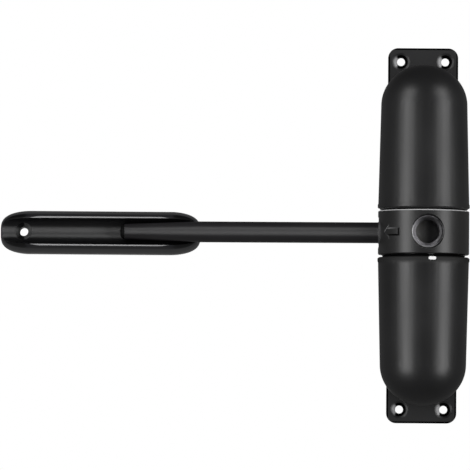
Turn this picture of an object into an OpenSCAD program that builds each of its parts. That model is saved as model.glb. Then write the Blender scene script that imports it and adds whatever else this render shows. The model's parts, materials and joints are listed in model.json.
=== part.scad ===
// Spring door closer. Two spring housings stand on a back plate, a collar turns
// between them on a fixed spindle, a rod arm is screwed into the collar, and the
// arm's tip runs in the groove of a separate guide shoe.
// Millimetres. +Z runs up the spindle, the wall is the plane y = 0 and the front
// faces -Y, with the arm towards -X. The origin is the middle of the back
// plate's wall face.

/* [Back plate] */
// Height of the back plate
plate_h = 170; // [166:1:200]
// Width of the back plate
plate_w = 31.7; // [30.6:0.1:36]
// Thickness of the back plate
plate_t = 3; // [2.6:0.1:4]
// Radius of the back plate's corners
plate_corner_r = 4.5; // [2:0.5:6]
// Distance between the wall screws, sideways
screw_dx = 20; // [17:0.5:21]
// Distance between the wall screws, along the plate
screw_dz = 157.6; // [156:0.2:159]
// Diameter of the wall screw holes
screw_hole_d = 3.6; // [3:0.1:4.4]
// Diameter of the countersinks of the wall screw holes
screw_sink_d = 8; // [6:0.1:8.2]

/* [Spring housings] */
// Diameter of each housing at its rim, beside the collar
housing_d = 41.4; // [40:0.1:44]
// Diameter of each housing where its dome starts
dome_d = 38.8; // [37.6:0.1:39.4]
// Height of each dome
dome_h = 18.4; // [16:0.1:20]
// Length of the upper housing
upper_housing_h = 64.9; // [63.4:0.1:67]
// Length of the lower housing
lower_housing_h = 66.5; // [63.4:0.1:67]
// Wall of the housings
housing_wall = 1.8; // [1.2:0.1:2]
// Thickness of the deck that closes each housing beside the collar
deck_t = 2; // [1.6:0.1:3]
// Height of the raised band at each rim
band_h = 2.2; // [1.4:0.1:4]
// How far the band stands out of the housing
band_step = 0.25; // [0.1:0.05:0.4]
// Width of the foot between each housing and the back plate
foot_w = 30; // [29.6:0.1:30.4]

/* [Collar] */
// Diameter of the collar
collar_d = 41; // [39.6:0.1:42]
// Height of the collar
collar_h = 19.8; // [19:0.1:21]
// Height of the collar's middle above the back plate's middle
collar_z = 0.2; // [-1:0.1:1]
// Running gap between the collar and the upper housing
upper_gap = 0.9; // [0.5:0.1:1.2]
// Running gap between the collar and the lower housing
lower_gap = 1.2; // [0.8:0.1:1.6]
// Running gap between the collar and the back plate
wall_gap = 0.85; // [0.6:0.05:2]
// Rounding of the collar's two edges
collar_round = 0.6; // [0.3:0.1:0.9]

/* [Sockets] */
// Outer diameter of the threaded sockets
socket_d = 14.6; // [13:0.1:14.8]
// Bore of the threaded sockets
socket_bore_d = 10.6; // [10.3:0.1:11]
// How far the front socket lies below the collar's surface
socket_recess = 1.45; // [1:0.05:2]
// Angle of the front socket from square to the arm, away from the arm
front_socket_turn = 6.4; // [0:0.1:10]

/* [Arm] */
// Length of the arm from the spindle's axis to its tip
arm_l = 136.5; // [120:0.5:160]
// Diameter of the arm's rod
rod_d = 9.4; // [8.6:0.1:9.6]
// Length of the tapered end of the rod
taper_l = 36; // [30:0.5:40]
// Diameter of the rod's tip
tip_d = 6.6; // [6:0.1:7]
// Visible length of the rounded nose plug
nose_l = 1.8; // [1.2:0.1:2.6]
// Angle by which the closed arm leans towards the wall
arm_lean = 2; // [1.6:0.1:2.2]
// Largest opening angle of the arm
arm_swing = 90; // [60:1:90]

/* [Guide shoe] */
// Length of the guide shoe
shoe_l = 90.5; // [86:0.5:100]
// Width of the guide shoe on the wall
shoe_w = 19.6; // [19:0.1:22]
// How far the arm's tip reaches into the closed guide shoe
shoe_overlap = 36; // [30:0.2:38]
// Depth of the shoe's groove
groove_depth = 4.7; // [4:0.1:5]
// Width of the groove at its outer end
groove_out_d = 12; // [11:0.1:12.2]
// Width of the groove at its inner end, where the arm enters
groove_in_d = 12.6; // [12.2:0.1:13]
// Distance between the shoe's screws
shoe_screw_dx = 69; // [62:0.5:70]
// Diameter of the shoe's screw holes
shoe_hole_d = 4; // [3:0.1:4.4]
// Diameter of the shoe's screw heads
shoe_sink_d = 7.6; // [6:0.1:8]

/* [Spindle and springs] */
// Diameter of the spindle
spindle_d = 8; // [7:0.1:8]
// Diameter of the spring wire
wire_d = 2.5; // [1.8:0.1:2.6]
// Mean diameter of the springs
spring_d = 26; // [24:0.5:26]
// Number of turns in each spring
spring_turns = 8.75; // [6.75:1:8.75]
// Height of the room for each spring
spring_room = 36.9; // [34:0.1:37]
// Thickness of the lugs that carry the spindle
lug_t = 3; // [2:0.1:3.4]
// Diameter of the stop pin
stop_pin_d = 3.4; // [2.8:0.1:3.6]

/* [Hidden] */

$fn = 96;
up = 1;
down = -1;
// Cuts run past the faces they open by this much
past = 1;
// Clearance of a pin, bush or sleeve fixed in its seat
seat_gap = 0.02;
// Clearance of what turns on the spindle
turn_gap = 0.05;
// Clearance between faces that turn past each other
face_gap = 0.2;

axis_y = plate_t + wall_gap + collar_d / 2;
plate_front = axis_y - plate_t;
housing_r = housing_d / 2;
dome_r = dome_d / 2;
// The foot's outline lies this far inside the dome's own outline
foot_inset = 1;
dome_steps = 30;

// Heights along the spindle, counted from the collar's middle
rim_gap_max = max(upper_gap, lower_gap);
disc_t = 3;
disc_clear = 0.65;
disc_h = collar_h / 2 + rim_gap_max + deck_t + disc_clear;
hub_end = disc_h + disc_t;
washer_t = 1;
anchor_t = 4;
anchor_h = hub_end + spring_room;
lug_h = anchor_h + anchor_t + face_gap / 2;
clip_t = 1;
clip_h = lug_h + lug_t + face_gap / 2;
// The spindle's ends stand out of the circlips, which sit in grooves of this depth
spindle_tail = 2;
spindle_end = clip_h + clip_t + spindle_tail;
clip_groove = 0.6;

hub_r = 8;
hub_spigot_r = 6.9;
bush_r = 5.5;
bush_l = 10;
washer_r = 7.5;
spacer_r = 6;
disc_rim = 0.75;
disc_r = spring_d / 2 + wire_d / 2 + disc_rim;
deck_hole_gap = 1;
deck_hole_r = hub_r + deck_hole_gap;
key_w = 3;
// How deep the key lies in the hub, and in the collar
key_depth = 1.5;
// How far the key stops short of each face of the collar
key_short = 2;
key_l = collar_h - 2 * key_short;
key_turn = 45;
spindle_r = spindle_d / 2;
run_r = spindle_r + turn_gap;

lug_w = 22;
lug_foot_h = 16;
rivet_d = 4;
rivet_head_d = 6;
rivet_head_t = 1.2;
rivet_dx = 12;
rivet_below = 12;
rivet_h = lug_h + lug_t - rivet_below;
rivet_dome = 0.6;
dowel_d = 3;
dowel_x = 7.5;

// The housing screws come through the back plate from behind
case_screw_d = 3;
case_screw_head_d = 6;
case_screw_l = 9;
case_screw_dx = 21.6;
case_screw_h = 30;
boss_d = 6;
boss_end = 2;
boss_l = case_screw_l - plate_t + boss_end;

// The stop pin stands in the lower housing's deck and runs in the collar's groove
stop_r = 16.7;
stop_turn = 9.6;
stop_depth = 1.6;
stop_groove_depth = 1.9;
stop_side_gap = 0.3;
stop_half_angle = asin(stop_pin_d / 2 / stop_r);
stop_end_gap = 0.6;
window_w = stop_pin_d + 0.2;
window_h = 1.5;
window_low = 0.1;
window_l = 2 * stop_pin_d;
plug_sunk = 0.1;

// Each housing has a lip in the running gap: radius at its rim and beside the collar
upper_lip_r = [20, 19.5];
lower_lip_r = [18.3, 18.8];
lip_w = 2;
lip_gap = 0.3;

// The arm's socket opens to -X, the spare one to the front
arm_socket_turn = -90;
socket_r = socket_d / 2;
socket_hub_gap = 1.2;
socket_in = hub_r + socket_hub_gap;
socket_face = collar_d / 2 - socket_recess;
arm_socket_recess = 0.3;
arm_socket_face = collar_d / 2 - arm_socket_recess;
socket_mouth = 0.9;
thread_d = socket_bore_d - 2 * turn_gap;
thread_chamfer = 0.6;
// The thread runs on to the rod's full diameter this far outside the socket
thread_out = 0.4;
arm_start = socket_in + face_gap;
arrow_turn = -45.4;
arrow_l = 9.7;
arrow_head_l = 3.7;
arrow_head_w = 6.3;
arrow_shaft_w = 3.5;
arrow_raise = 0.45;

// The rod's back lies this far in front of the groove's floor
glide_gap = 0.3;
tip_x = -arm_l * cos(arm_lean);
tip_y = -axis_y + arm_l * sin(arm_lean);
groove_y = tip_y + tip_d / 2 + glide_gap;
shoe_h = groove_depth - groove_y;
shoe_x = tip_x + shoe_overlap - shoe_l / 2;
// Length of the shoe's rounded ends, and how square they are
shoe_end_l = 14;
shoe_end_power = 3.5;
shoe_edge_h = 1.2;
// At this height the shoe draws in by so much along its length, at its sides and in its ends
shoe_mid_h = 12;
shoe_mid_in = [1.2, 0.8, 0.6];
// The same at its shoulders, which lie so far below its ridges and leave the groove open at both ends
shoulder_drop = 3;
shoulder_in = [2.8, 1.9, 1.6];
// The same for its ridges, beside the groove
ridge_in = 10;
ridge_end_in = 4;
ridge_land = 0.7;
ridge_w = groove_in_d + 2 * ridge_land;
// The countersinks in the shoe start this far below its groove's floor
sink_below_groove = 2;
slice_t = 0.2;
pocket_l = 11;
pocket_w = 12;
pocket_depth = 11;
pocket_rib = 2;
pocket_n = 4;

// Places a child on the spindle's axis at the collar's middle height
module at_collar() {
    translate([0, -axis_y, collar_z]) children();
}

// The same for the upper half, or turned upside down for the lower half
module half(side) {
    at_collar() mirror([0, 0, side == up ? 0 : 1]) children();
}

// Places a child in the collar's own frame, with the arm along -X
module on_arm() {
    at_collar() rotate([0, 0, -arm_lean]) children();
}

// A ring or tube from height z, with its bore
module ring(r_out, r_in, h, z = 0) {
    translate([0, 0, z]) difference() {
        cylinder(h = h, r = r_out);
        translate([0, 0, -past]) cylinder(h = h + 2 * past, r = r_in);
    }
}

// A cylinder along +Y that starts at y
module along_y(r, l, y = 0, r_end = undef) {
    translate([0, y, 0]) rotate([-90, 0, 0])
        cylinder(h = l, r1 = r, r2 = is_undef(r_end) ? r : r_end);
}

// A box centred on X
module bar(w, y0, y1, z0, z1) {
    translate([-w / 2, y0, z0]) cube([w, y1 - y0, z1 - z0]);
}

// Back plate: a rounded flat plate with countersunk wall screw holes
module plate_blank() {
    x = plate_w / 2 - plate_corner_r;
    z = plate_h / 2 - plate_corner_r;
    bar(plate_w, -plate_t, 0, -z, z);
    bar(2 * x, -plate_t, 0, -plate_h / 2, plate_h / 2);
    for (sx = [-1, 1], sz = [-1, 1])
        translate([sx * x, 0, sz * z]) along_y(plate_corner_r, plate_t, -plate_t);
}

module wall_screw_hole() {
    sink = (screw_sink_d - screw_hole_d) / 2;
    along_y(screw_hole_d / 2, plate_t + 2 * past, -plate_t - past);
    along_y(screw_sink_d / 2, sink, -plate_t, screw_hole_d / 2);
    along_y(screw_sink_d / 2, past, -plate_t - past);
}

module case_screw_hole() {
    sink = (case_screw_head_d - case_screw_d) / 2;
    along_y(case_screw_d / 2 + seat_gap, plate_t + 2 * past, -plate_t - past);
    along_y(case_screw_d / 2 + seat_gap, sink, -sink, case_screw_head_d / 2 + seat_gap);
    along_y(case_screw_head_d / 2 + seat_gap, past, 0);
}

module at_case_screws(side) {
    for (sx = [-1, 1])
        translate([sx * case_screw_dx / 2, 0, collar_z + side * case_screw_h]) children();
}

module at_rivets(side) {
    for (sx = [-1, 1])
        translate([sx * rivet_dx / 2, 0, collar_z + side * rivet_h]) children();
}

module back_plate() {
    color([0.09, 0.09, 0.1]) difference() {
        plate_blank();
        for (sx = [-1, 1], sz = [-1, 1])
            translate([sx * screw_dx / 2, 0, sz * screw_dz / 2]) wall_screw_hole();
        for (side = [up, down]) {
            at_case_screws(side) case_screw_hole();
            at_rivets(side)
                along_y(rivet_d / 2 + seat_gap, plate_t + 2 * past, -plate_t - past);
        }
    }
}

// Lug: a shelf round the spindle's end on a foot riveted to the back plate
module lug(side) {
    color([0.62, 0.63, 0.65]) difference() {
        half(side) {
            translate([0, 0, lug_h]) cylinder(h = lug_t, r = lug_w / 2);
            bar(lug_w, 0, plate_front, lug_h, lug_h + lug_t);
            bar(lug_w, plate_front - lug_t, plate_front, lug_h + lug_t - lug_foot_h, lug_h + lug_t);
        }
        half(side) {
            translate([0, 0, lug_h - past])
                cylinder(h = lug_t + 2 * past, r = spindle_r + seat_gap);
            for (sx = [-1, 1]) translate([sx * dowel_x, 0, lug_h - past])
                cylinder(h = lug_t + 2 * past, r = dowel_d / 2 + seat_gap);
        }
        at_rivets(side)
            along_y(rivet_d / 2 + seat_gap, lug_t + 2 * past, -plate_t - lug_t - past);
    }
}

// Rivets: flush with the wall face, domed heads on the lug's foot
module rivets(side) {
    head_y = -plate_t - lug_t;
    color([0.7, 0.7, 0.72]) at_rivets(side) {
        along_y(rivet_d / 2, plate_t + lug_t, head_y);
        along_y(rivet_head_d / 2 - rivet_dome, rivet_head_t, head_y - rivet_head_t, rivet_head_d / 2);
    }
}

// Half outline of a housing: radius and height from the rim, drawn in by inset
band_edge = 0.5;
function housing_outline(h, inset, start, band) = concat(
    [[0, start]],
    band
        ? [
            [housing_r - band_edge, start], [housing_r, start + band_edge],
            [housing_r, band_h - band_edge], [housing_r - band_step, band_h]
        ]
        : [[housing_r - band_step - inset, start]],
    [
        for (i = [0:dome_steps])
        let (a = 90 * i / dome_steps)
        [(dome_r - inset) * cos(a), h - dome_h + (dome_h - inset) * sin(a)]
    ]
);

// The outline's silhouette from the front, extruded from the axis to the back plate
module housing_foot(h, inset, start, w, reach) {
    half_outline = housing_outline(h, inset, start, false);
    intersection() {
        translate([0, reach, 0]) rotate([90, 0, 0])
            linear_extrude(reach) polygon(half_outline);
        translate([0, 0, start]) cube([w / 2, reach, h]);
    }
    intersection() {
        translate([0, reach, 0]) rotate([90, 0, 0])
            linear_extrude(reach) polygon([for (p = half_outline) [-p[0], p[1]]]);
        translate([-w / 2, 0, start]) cube([w / 2, reach, h]);
    }
}

// Housing: a domed shell on a foot, closed by a deck beside the collar
module housing_shell(h, gap, lip_r) {
    rim = collar_h / 2 + gap;
    lip_h = gap - lip_gap;
    difference() {
        union() {
            difference() {
                translate([0, 0, rim]) union() {
                    rotate_extrude() polygon(housing_outline(h, 0, 0, true));
                    housing_foot(h, foot_inset, 0, foot_w, plate_front);
                    ring(lip_r[0], lip_r[0] - lip_w, past);
                    translate([0, 0, -lip_h]) difference() {
                        cylinder(h = lip_h, r1 = lip_r[1], r2 = lip_r[0]);
                        cylinder(h = 3 * lip_h, r = lip_r[0] - lip_w, center = true);
                    }
                }
                translate([0, 0, rim]) {
                    rotate_extrude() polygon(housing_outline(h, housing_wall, deck_t, false));
                    housing_foot(
                        h, foot_inset + housing_wall, deck_t,
                        foot_w - 2 * housing_wall, plate_front + past
                    );
                }
            }
            for (sx = [-1, 1])
                translate([sx * case_screw_dx / 2, 0, case_screw_h])
                    along_y(boss_d / 2, boss_l, plate_front - boss_l);
        }
        translate([0, 0, rim - past - gap]) cylinder(h = deck_t + gap + 2 * past, r = deck_hole_r);
        for (sx = [-1, 1])
            translate([sx * case_screw_dx / 2, 0, case_screw_h])
                along_y(case_screw_d / 2 + seat_gap, boss_l, plate_front - boss_l + past);
    }
}

module upper_housing() {
    color([0.1, 0.1, 0.11]) half(up)
        housing_shell(upper_housing_h, upper_gap, upper_lip_r);
}

module at_stop() {
    rotate([0, 0, stop_turn]) translate([0, -stop_r, 0]) children();
}

// Oval bar from the stop pin's axis to the front, in the lower deck's thickness
module window_bar(gap) {
    at_stop() hull() for (sx = [-1, 1])
        translate([
            sx * (window_w - window_h) / 2, 0,
            collar_h / 2 + lower_gap + window_low + window_h / 2
        ])
            along_y(window_h / 2 - gap, window_l, -window_l);
}

// The lower housing's deck has a seat for the stop pin, and an oval window in front of it
module lower_housing() {
    rim = collar_h / 2 + lower_gap;
    color([0.1, 0.1, 0.11]) half(down) difference() {
        housing_shell(lower_housing_h, lower_gap, lower_lip_r);
        at_stop() translate([0, 0, rim - lower_gap])
            cylinder(h = lower_gap + deck_t + past, r = stop_pin_d / 2 + seat_gap);
        window_bar(0);
    }
}

// Plug: closes the window in front of the stop pin
module stop_plug() {
    rim = collar_h / 2 + lower_gap;
    color([0.9, 0.9, 0.9]) half(down) difference() {
        intersection() {
            window_bar(seat_gap);
            translate([0, 0, rim]) cylinder(h = deck_t, r = housing_r - plug_sunk);
        }
        at_stop() translate([0, 0, rim - past])
            cylinder(h = deck_t + 2 * past, r = stop_pin_d / 2 + seat_gap);
    }
}

// Stop pin: stands across the gap, from the lower deck into the collar's groove
module stop_pin() {
    top = collar_h / 2 - stop_depth;
    bottom = collar_h / 2 + lower_gap + deck_t;
    color([0.13, 0.13, 0.135]) half(down) at_stop()
        translate([0, 0, top]) cylinder(h = bottom - top, r = stop_pin_d / 2);
}

// Countersunk screws that hold a housing on the back plate
module case_screws(side) {
    head_t = (case_screw_head_d - case_screw_d) / 2;
    slot_w = 0.8;
    slot_l = 3.6;
    slot_depth = 0.9;
    color([0.72, 0.73, 0.75]) at_case_screws(side) difference() {
        union() {
            along_y(case_screw_d / 2, case_screw_l, -case_screw_l);
            along_y(case_screw_d / 2, head_t, -head_t, case_screw_head_d / 2);
        }
        for (a = [0, 90]) rotate([0, a, 0])
            translate([-slot_l / 2, -slot_depth, -slot_w / 2]) cube([slot_l, slot_depth + past, slot_w]);
    }
}

// Spindle: a fixed shaft with a circlip groove near each end
module spindle() {
    groove_r = spindle_r - clip_groove;
    chamfer = 0.6;
    color([0.75, 0.76, 0.78]) at_collar() difference() {
        rotate_extrude() polygon([
            [0, -spindle_end], [spindle_r - chamfer, -spindle_end], [spindle_r, chamfer - spindle_end],
            [spindle_r, spindle_end - chamfer], [spindle_r - chamfer, spindle_end], [0, spindle_end]
        ]);
        for (side = [up, down]) mirror([0, 0, side == up ? 0 : 1])
            ring(spindle_r + past, groove_r, clip_t + face_gap, clip_h - face_gap / 2);
    }
}

// Circlip: a split ring in the spindle's groove, outside the lug
module circlip(side) {
    clip_w = 2.8;
    clip_r = spindle_r - clip_groove + clip_w;
    mouth = 3;
    color([0.35, 0.35, 0.37]) half(side) difference() {
        ring(clip_r, spindle_r - clip_groove + seat_gap, clip_t, clip_h);
        translate([-mouth / 2, -clip_r - past, clip_h - past])
            cube([mouth, clip_r + past, clip_t + 2 * past]);
    }
}

// Anchor: holds the spring's fixed end, pinned to the lug by two dowels
module anchor(side) {
    color([0.55, 0.56, 0.58]) half(side) difference() {
        ring(disc_r, run_r, anchor_t, anchor_h);
        rotate([0, 0, spring_end_angle]) translate([spring_d / 2, 0, anchor_h - past])
            cylinder(h = anchor_t + 2 * past, r = wire_d / 2 + leg_gap);
        for (sx = [-1, 1]) translate([sx * dowel_x, 0, anchor_h - past])
            cylinder(h = anchor_t + 2 * past, r = dowel_d / 2 + seat_gap);
    }
}

module dowels(side) {
    color([0.7, 0.7, 0.72]) half(side)
        for (sx = [-1, 1]) translate([sx * dowel_x, 0, anchor_h])
            cylinder(h = lug_h + lug_t - anchor_h, r = dowel_d / 2);
}

// Spacer: a tube on the spindle that keeps the anchor off the thrust washer
module spacer(side) {
    low = hub_end + face_gap + washer_t;
    color([0.66, 0.67, 0.69]) half(side) ring(spacer_r, run_r, anchor_h - low, low);
}

module thrust_washer(side) {
    color([0.72, 0.6, 0.35]) half(side) ring(washer_r, run_r, washer_t, hub_end + face_gap);
}

// Springs: round wire wound on a cylinder, with an axial leg at each end
leg_gap = 0.1;
bend_r = 3;
leg_in_disc = 2.2;
spring_start_angle = 20;
spring_low = hub_end + leg_gap + bend_r;
spring_high = anchor_h - leg_gap - bend_r;
bend_angle = bend_r / (spring_d / 2) * 180 / PI;
spring_end_angle = spring_start_angle + 2 * bend_angle + 360 * spring_turns;
rings_per_turn = 8;
wire_sides = 6;
spring_rings = round(spring_turns * rings_per_turn);
bend_steps = 3;

// Points of the wire's centre line as angle and height
function spring_path() = concat(
    [[spring_start_angle, hub_end - leg_in_disc]],
    [
        for (i = [0:bend_steps - 1])
        let (a = 90 * i / bend_steps)
        [spring_start_angle + bend_angle * (1 - cos(a)), spring_low - bend_r * (1 - sin(a))]
    ],
    [
        for (i = [0:spring_rings])
        let (f = i / spring_rings)
        [
            spring_start_angle + bend_angle + 360 * spring_turns * f,
            spring_low + (spring_high - spring_low) * f
        ]
    ],
    [
        for (i = [bend_steps - 1:-1:0])
        let (a = 90 * i / bend_steps)
        [spring_end_angle - bend_angle * (1 - cos(a)), spring_high + bend_r * (1 - sin(a))]
    ],
    [[spring_end_angle, anchor_h + leg_in_disc]]
);

function on_cylinder(p, r) = [r * cos(p[0]), r * sin(p[0]), p[1]];
function unit(v) = v / norm(v);

// Corners of the wire's ring at one point of the path
function wire_ring(path, i) =
    let (
        here = on_cylinder(path[i], spring_d / 2),
        before = on_cylinder(path[max(i - 1, 0)], spring_d / 2),
        after = on_cylinder(path[min(i + 1, len(path) - 1)], spring_d / 2),
        along = unit(after - before),
        radial = [cos(path[i][0]), sin(path[i][0]), 0],
        across = unit(cross(along, radial)),
        outward = cross(across, along)
    )
    [
        for (s = [0:wire_sides - 1])
        let (a = 360 * s / wire_sides)
        here + wire_d / 2 * (cos(a) * outward + sin(a) * across)
    ];

module wound_spring() {
    path = spring_path();
    n = len(path);
    points = [for (i = [0:n - 1]) each wire_ring(path, i)];
    sides = [
        for (i = [0:n - 2], s = [0:wire_sides - 1])
        let (
            a = i * wire_sides + s,
            b = i * wire_sides + (s + 1) % wire_sides,
            c = b + wire_sides,
            d = a + wire_sides
        )
        each [[a, b, c], [a, c, d]]
    ];
    last = (n - 1) * wire_sides;
    first_cap = [for (s = [1:wire_sides - 2]) [0, s + 1, s]];
    last_cap = [for (s = [1:wire_sides - 2]) [last, last + s, last + s + 1]];
    polyhedron(points = points, faces = concat(sides, first_cap, last_cap), convexity = 10);
}

// Least distance between parts of the wire that are more than half a turn apart
function least_wire_gap() =
    let (path = spring_path(), n = len(path), apart = rings_per_turn / 2)
    min([
        for (i = [0:n - 1 - apart], j = [i + apart:n - 1])
        norm(on_cylinder(path[i], spring_d / 2) - on_cylinder(path[j], spring_d / 2)) - wire_d
    ]);

module spring(side) {
    echo(least_spring_gap = least_wire_gap());
    color([0.45, 0.46, 0.48]) half(side) wound_spring();
}

// Arrow outline in the plane that touches the collar, pointing to -X
module arrow_outline() {
    polygon([
        [-arrow_l / 2, 0], [arrow_head_l - arrow_l / 2, arrow_head_w / 2],
        [arrow_head_l - arrow_l / 2, arrow_shaft_w / 2], [arrow_l / 2, arrow_shaft_w / 2],
        [arrow_l / 2, -arrow_shaft_w / 2], [arrow_head_l - arrow_l / 2, -arrow_shaft_w / 2],
        [arrow_head_l - arrow_l / 2, -arrow_head_w / 2]
    ]);
}

// Raised arrow that shows which way the springs turn the collar
module arrow() {
    r = collar_d / 2;
    intersection() {
        rotate([0, 0, arrow_turn]) translate([0, -r / 2, 0]) rotate([90, 0, 0])
            linear_extrude(r) arrow_outline();
        ring(r + arrow_raise, r - 1, arrow_head_w, -arrow_head_w / 2);
    }
}

// Groove under the collar for the stop pin, as wide as the arm's swing
module stop_groove() {
    ahead = 270;
    front = ahead + stop_turn;
    first = front - arm_swing - stop_half_angle - stop_end_gap;
    last = front + stop_half_angle + stop_end_gap;
    low = stop_r - stop_pin_d / 2 - stop_side_gap;
    rotate([0, 0, arm_lean + first]) rotate_extrude(angle = last - first)
        translate([low, -collar_h / 2 - past])
            square([stop_pin_d + 2 * stop_side_gap, stop_groove_depth + past]);
}

// Collar: turns with the arm, with two radial seats for the threaded sockets
module collar() {
    r = collar_d / 2;
    z = collar_h / 2;
    c = collar_round;
    rim_flare = 0.8;
    flare_l = 1.9;
    color([0.13, 0.13, 0.135]) on_arm() difference() {
        union() {
            rotate_extrude() polygon(concat(
                [[hub_r + seat_gap, -z]],
                [for (a = [-90:15:0]) [r - c + c * cos(a), c - z + c * sin(a)]],
                [for (a = [0:15:90]) [r - c + c * cos(a), z - c + c * sin(a)]],
                [[hub_r + seat_gap, z]]
            ));
            arrow();
        }
        for (a = [front_socket_turn, arm_socket_turn]) rotate([0, 0, a])
            translate([0, -r - past, 0]) along_y(socket_r + seat_gap, r + past - hub_r);
        rotate([0, 0, front_socket_turn]) translate([0, -socket_face - flare_l, 0])
            along_y(socket_r + rim_flare, flare_l, 0, socket_r + seat_gap);
        rotate([0, 0, key_turn])
            bar(key_w + 2 * seat_gap, 0, hub_r + key_depth + seat_gap, -z - past, key_l / 2);
        stop_groove();
    }
}

// Drive hub: the sleeve that carries the collar and both drive discs
module drive_hub() {
    color([0.13, 0.13, 0.135]) on_arm() difference() {
        union() {
            cylinder(h = 2 * disc_h, r = hub_r, center = true);
            cylinder(h = 2 * hub_end, r = hub_spigot_r, center = true);
        }
        cylinder(h = 2 * hub_end + 2 * past, r = bush_r + seat_gap, center = true);
        rotate([0, 0, key_turn])
            bar(key_w + 2 * seat_gap, hub_r - key_depth - seat_gap, hub_r + past, -key_l / 2, key_l / 2);
    }
}

// Key: locks the collar to the drive hub
module drive_key() {
    color([0.7, 0.7, 0.72]) on_arm() rotate([0, 0, key_turn])
        bar(key_w, hub_r - key_depth, hub_r + key_depth, seat_gap - key_l / 2, key_l / 2 - seat_gap);
}

module bush(side) {
    color([0.72, 0.52, 0.28]) half(side) ring(bush_r, run_r, bush_l, hub_end - bush_l);
}

// Drive disc: pressed on the hub's end, takes the spring's moving end
module drive_disc(side) {
    color([0.55, 0.56, 0.58]) half(side) difference() {
        ring(disc_r, hub_spigot_r + seat_gap, disc_t, disc_h);
        rotate([0, 0, spring_start_angle]) translate([spring_d / 2, 0, disc_h - past])
            cylinder(h = disc_t + 2 * past, r = wire_d / 2 + leg_gap);
    }
}

// Threaded socket: a steel sleeve in the collar, its mouth opened by a cone
module socket(turn, face) {
    l = face - socket_in;
    bore_r = socket_bore_d / 2;
    color([0.3, 0.3, 0.31]) on_arm() rotate([0, 0, turn]) translate([0, -face, 0]) difference() {
        along_y(socket_r, l);
        along_y(bore_r, l + 2 * past, -past);
        along_y(bore_r + socket_mouth, socket_mouth, 0, bore_r);
    }
}

// Arm: a rod with a threaded inner end and a long tapered outer end
module arm_rod() {
    r = rod_d / 2;
    tip_r = tip_d / 2;
    end = arm_l - nose_l;
    nose_r = tip_r + (r - tip_r) * nose_l / taper_l;
    thread_end = arm_socket_face + thread_out;
    color([0.16, 0.16, 0.17]) on_arm() rotate([0, -90, 0]) difference() {
        rotate_extrude() polygon([
            [0, arm_start], [thread_d / 2 - thread_chamfer, arm_start],
            [thread_d / 2, arm_start + thread_chamfer],
            [thread_d / 2, thread_end - thread_chamfer], [r, thread_end],
            [r, arm_l - taper_l], [nose_r, end], [0, end]
        ]);
        translate([0, 0, end - plug_l]) cylinder(h = plug_l + past, r = plug_r + seat_gap);
    }
}

// Nose plug: the rounded end of the arm, on a spigot inside the rod
plug_r = 1.8;
plug_l = 6;
module nose_plug() {
    tip_r = tip_d / 2;
    nose_r = tip_r + (rod_d / 2 - tip_r) * nose_l / taper_l;
    end = arm_l - nose_l;
    color([0.12, 0.12, 0.13]) on_arm() rotate([0, -90, 0]) rotate_extrude() polygon(concat(
        [[0, end - plug_l + seat_gap], [plug_r, end - plug_l + seat_gap], [plug_r, end]],
        [for (a = [0:10:90]) [nose_r - nose_l * (1 - cos(a)), end + nose_l * sin(a)]],
        [[0, end + nose_l]]
    ));
}

// Plan outline of the guide shoe: straight sides, ends drawn by a formula
function shoe_outline(l, w, end_l) = [
    for (q = [0:3], i = [0:11])
    let (
        a = 90 * q + 90 * i / 12,
        sx = q == 0 || q == 3 ? 1 : -1,
        sz = q < 2 ? 1 : -1
    )
    [
        sx * (l / 2 - end_l) + end_l * cos(a),
        sz * w / 2 * pow(abs(sin(a)), 2 / shoe_end_power)
    ]
];

module shoe_slice(l, w, end_l, h) {
    translate([0, -h, 0]) rotate([90, 0, 0]) linear_extrude(slice_t) polygon(shoe_outline(l, w, end_l));
}

// Guide shoe: a boat-shaped block with a half-round groove along its front
module guide_shoe() {
    groove_l = shoe_l + 2 * past;
    flare = atan((groove_in_d - groove_out_d) / 2 / shoe_l);
    sink = (shoe_sink_d - shoe_hole_d) / 2;
    sink_y = -groove_y - sink_below_groove;
    pitch = pocket_l + pocket_rib;
    color([0.07, 0.07, 0.075]) translate([shoe_x, 0, collar_z]) difference() {
        hull() {
            shoe_slice(shoe_l, shoe_w, shoe_end_l, 0);
            shoe_slice(shoe_l, shoe_w, shoe_end_l, shoe_edge_h);
            shoe_slice(
                shoe_l - 2 * shoe_mid_in[0], shoe_w - 2 * shoe_mid_in[1],
                shoe_end_l - shoe_mid_in[2], shoe_mid_h
            );
            shoe_slice(
                shoe_l - 2 * shoulder_in[0], shoe_w - 2 * shoulder_in[1],
                shoe_end_l - shoulder_in[2], shoe_h - shoulder_drop
            );
            shoe_slice(shoe_l - 2 * ridge_in, ridge_w, shoe_end_l - ridge_end_in, shoe_h - slice_t);
        }
        translate([-groove_l / 2, groove_y, 0]) rotate([0, 0, -flare])
            translate([0, -groove_out_d / 2, 0]) rotate([0, 90, 0])
                cylinder(h = groove_l, r1 = groove_out_d / 2, r2 = groove_in_d / 2);
        for (sx = [-1, 1]) translate([sx * shoe_screw_dx / 2, 0, 0]) {
            along_y(shoe_hole_d / 2, shoe_h + 2 * past, -shoe_h - past);
            along_y(shoe_sink_d / 2, sink, -sink_y, shoe_hole_d / 2);
            along_y(shoe_sink_d / 2, shoe_h, -sink_y - shoe_h);
        }
        for (i = [0:pocket_n - 1])
            translate([(i - (pocket_n - 1) / 2) * pitch - pocket_l / 2, -pocket_depth, -pocket_w / 2])
                cube([pocket_l, pocket_depth + past, pocket_w]);
    }
}

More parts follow.
